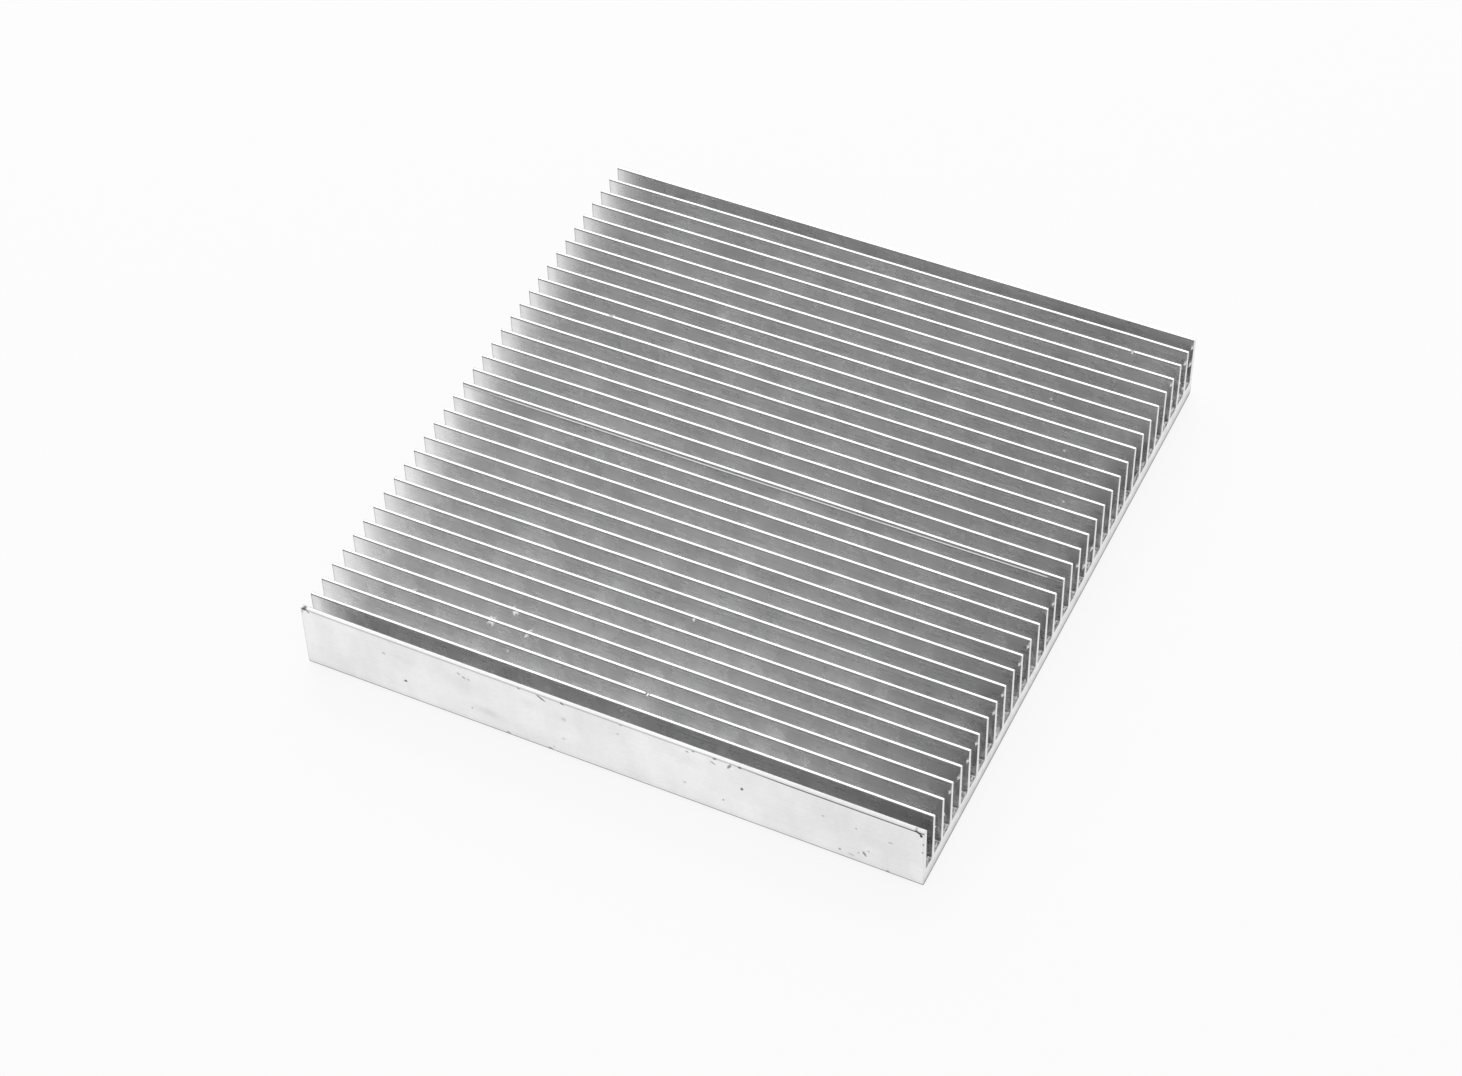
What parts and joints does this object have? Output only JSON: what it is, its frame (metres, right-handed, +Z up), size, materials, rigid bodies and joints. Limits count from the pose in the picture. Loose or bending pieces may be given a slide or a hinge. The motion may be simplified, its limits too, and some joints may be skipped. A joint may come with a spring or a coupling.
{
  "type": "heat sink",
  "caption": "Flat finned aluminium heat sink: a square base plate with a row of thin upright fins, for carrying heat from a flat surface to air.",
  "frame": {"origin": "centre of the flat underside", "axes": "+Z up towards the fin tips, X along the fins, Y across the fins"},
  "size_m": [0.15, 0.158, 0.0185],
  "materials": {
    "mill_aluminium": "mill finish as extruded, with fine lengthwise die lines and sawn ends"
  },
  "bodies": {
    "root": {"heat_sink": "mill_aluminium"}
  },
  "joints": []
}
